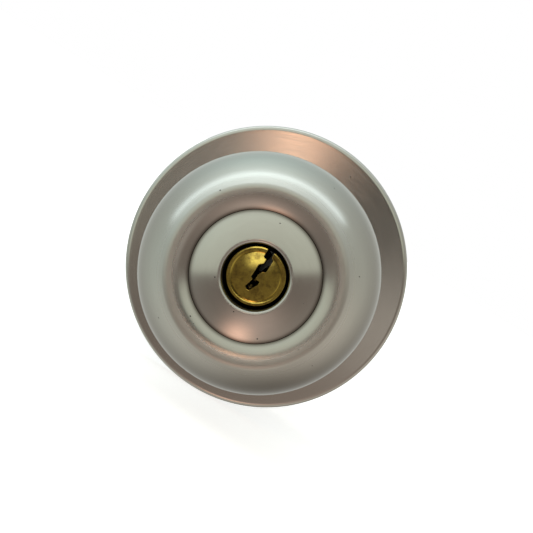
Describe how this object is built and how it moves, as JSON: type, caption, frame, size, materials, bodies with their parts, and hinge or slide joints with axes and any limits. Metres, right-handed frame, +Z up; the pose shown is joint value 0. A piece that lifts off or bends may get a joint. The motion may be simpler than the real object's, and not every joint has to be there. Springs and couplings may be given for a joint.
{
  "type": "keyed door knob lockset",
  "caption": "Round keyed-entry door knob lockset: ball knobs with a domed face ring and recessed brass cylinder, dished round roses, and a tubular chassis for a bored door.",
  "frame": {"origin": "on the knobs' common axis, in the middle of the door's thickness", "axes": "+Y along the knob axis towards the inner knob, -Y towards the keyed outer face, +Z up, +X towards the door's edge and the latch"},
  "size_m": [0.066, 0.1628, 0.066],
  "materials": {
    "satin_nickel": "satin nickel, circular brushing",
    "brass": "machined, slightly dull",
    "pin_brass": "machined",
    "die_cast_zinc": "as cast, matt grey",
    "zinc_plated_steel": "zinc plated",
    "spring_steel": "drawn wire"
  },
  "bodies": {
    "lock_frame": {"outer_rose": "satin_nickel", "outer_rose_plate": "zinc_plated_steel", "outer_hub_nut": "zinc_plated_steel", "outer_hub": "zinc_plated_steel", "chassis_frame": "zinc_plated_steel", "chassis_cover": "zinc_plated_steel", "inner_hub": "zinc_plated_steel", "inner_hub_nut": "zinc_plated_steel", "inner_mounting_plate": "zinc_plated_steel", "mounting_screws": "zinc_plated_steel", "inner_rose": "satin_nickel", "upper_return_spring": "spring_steel", "lower_return_spring": "spring_steel"},
    "outer_knob": {"outer_knob_front_shell": "satin_nickel", "outer_knob_face_ring": "satin_nickel", "outer_knob_rear_shell": "satin_nickel", "outer_knob_core": "die_cast_zinc", "cylinder_body": "brass", "pin_chamber_cover": "brass", "outer_spindle": "zinc_plated_steel", "pin_spring_1": "spring_steel", "pin_spring_2": "spring_steel", "pin_spring_3": "spring_steel", "pin_spring_4": "spring_steel", "pin_spring_5": "spring_steel"},
    "plug": {"cylinder_plug": "brass", "plug_retaining_clip": "zinc_plated_steel", "tailpiece": "zinc_plated_steel"},
    "outer_catch": {"outer_knob_catch": "zinc_plated_steel"},
    "retractor": {"retractor": "zinc_plated_steel"},
    "locking_bar": {"locking_bar": "zinc_plated_steel"},
    "inner_knob": {"inner_knob_front_shell": "satin_nickel", "inner_knob_face_ring": "satin_nickel", "inner_knob_rear_shell": "satin_nickel", "inner_knob_core": "die_cast_zinc", "inner_spindle": "zinc_plated_steel", "button_spring": "spring_steel"},
    "inner_catch": {"inner_knob_catch": "zinc_plated_steel"},
    "lock_button": {"lock_button": "satin_nickel", "lock_button_rod": "zinc_plated_steel"},
    "key_pin_1_body": {"key_pin_1": "pin_brass"},
    "key_pin_2_body": {"key_pin_2": "pin_brass"},
    "key_pin_3_body": {"key_pin_3": "pin_brass"},
    "key_pin_4_body": {"key_pin_4": "pin_brass"},
    "key_pin_5_body": {"key_pin_5": "pin_brass"},
    "driver_pin_1_body": {"driver_pin_1": "pin_brass"},
    "driver_pin_2_body": {"driver_pin_2": "pin_brass"},
    "driver_pin_3_body": {"driver_pin_3": "pin_brass"},
    "driver_pin_4_body": {"driver_pin_4": "pin_brass"},
    "driver_pin_5_body": {"driver_pin_5": "pin_brass"}
  },
  "joints": [
    {"name": "outer_knob_turn", "type": "hinge", "parent": "lock_frame", "child": "outer_knob", "pos_m": [0, 0, 0], "axis": [0, 1, 0], "range_deg": [0, 60], "stiffness_Nm_per_rad": 0.25},
    {"name": "retractor_slide", "type": "slide", "parent": "lock_frame", "child": "retractor", "axis": [-1, 0, 0], "range_m": [0, 0.00996], "deforming": ["upper_return_spring", "lower_return_spring"]},
    {"name": "key_turn", "type": "hinge", "parent": "outer_knob", "child": "plug", "pos_m": [0, 0, 0], "axis": [0, 1, 0], "range_deg": [0, 90]},
    {"name": "inner_knob_turn", "type": "hinge", "parent": "lock_frame", "child": "inner_knob", "pos_m": [0, 0, 0], "axis": [0, 1, 0], "range_deg": [-60, 60], "stiffness_Nm_per_rad": 0.25},
    {"name": "button_press", "type": "slide", "parent": "inner_knob", "child": "lock_button", "axis": [0, 1, 0], "range_m": [-0.0045, 0], "stiffness_N_per_m": 250, "deforming": ["button_spring"]},
    {"name": "locking_bar_slide", "type": "slide", "parent": "outer_knob", "child": "locking_bar", "axis": [0, 1, 0], "range_m": [-0.0045, 0]},
    {"name": "outer_catch_press", "type": "slide", "parent": "outer_knob", "child": "outer_catch", "axis": [0, 0, 1], "range_m": [0, 0.0025], "stiffness_N_per_m": 200},
    {"name": "inner_catch_press", "type": "slide", "parent": "inner_knob", "child": "inner_catch", "axis": [0, 0, 1], "range_m": [0, 0.0025], "stiffness_N_per_m": 200},
    {"name": "key_pin_1_lift", "type": "slide", "parent": "plug", "child": "key_pin_1_body", "axis": [0, 0, -1], "range_m": [-0.0026, 0]},
    {"name": "driver_pin_1_lift", "type": "slide", "parent": "outer_knob", "child": "driver_pin_1_body", "axis": [0, 0, -1], "range_m": [-0.0026, 0], "deforming": ["pin_spring_1"]},
    {"name": "key_pin_2_lift", "type": "slide", "parent": "plug", "child": "key_pin_2_body", "axis": [0, 0, -1], "range_m": [-0.0015, 0]},
    {"name": "driver_pin_2_lift", "type": "slide", "parent": "outer_knob", "child": "driver_pin_2_body", "axis": [0, 0, -1], "range_m": [-0.0015, 0], "deforming": ["pin_spring_2"]},
    {"name": "key_pin_3_lift", "type": "slide", "parent": "plug", "child": "key_pin_3_body", "axis": [0, 0, -1], "range_m": [-0.0022, 0]},
    {"name": "driver_pin_3_lift", "type": "slide", "parent": "outer_knob", "child": "driver_pin_3_body", "axis": [0, 0, -1], "range_m": [-0.0022, 0], "deforming": ["pin_spring_3"]},
    {"name": "key_pin_4_lift", "type": "slide", "parent": "plug", "child": "key_pin_4_body", "axis": [0, 0, -1], "range_m": [-0.0008, 0]},
    {"name": "driver_pin_4_lift", "type": "slide", "parent": "outer_knob", "child": "driver_pin_4_body", "axis": [0, 0, -1], "range_m": [-0.0008, 0], "deforming": ["pin_spring_4"]},
    {"name": "key_pin_5_lift", "type": "slide", "parent": "plug", "child": "key_pin_5_body", "axis": [0, 0, -1], "range_m": [-0.0018, 0]},
    {"name": "driver_pin_5_lift", "type": "slide", "parent": "outer_knob", "child": "driver_pin_5_body", "axis": [0, 0, -1], "range_m": [-0.0018, 0], "deforming": ["pin_spring_5"]}
  ],
  "couplings": [
    {"joint": "retractor_slide", "follows": "outer_knob_turn", "m_per_rad": 0.0095},
    {"joint": "locking_bar_slide", "follows": "button_press", "ratio": 1},
    {"joint": "driver_pin_1_lift", "follows": "key_pin_1_lift", "ratio": 1},
    {"joint": "driver_pin_2_lift", "follows": "key_pin_2_lift", "ratio": 1},
    {"joint": "driver_pin_3_lift", "follows": "key_pin_3_lift", "ratio": 1},
    {"joint": "driver_pin_4_lift", "follows": "key_pin_4_lift", "ratio": 1},
    {"joint": "driver_pin_5_lift", "follows": "key_pin_5_lift", "ratio": 1}
  ]
}
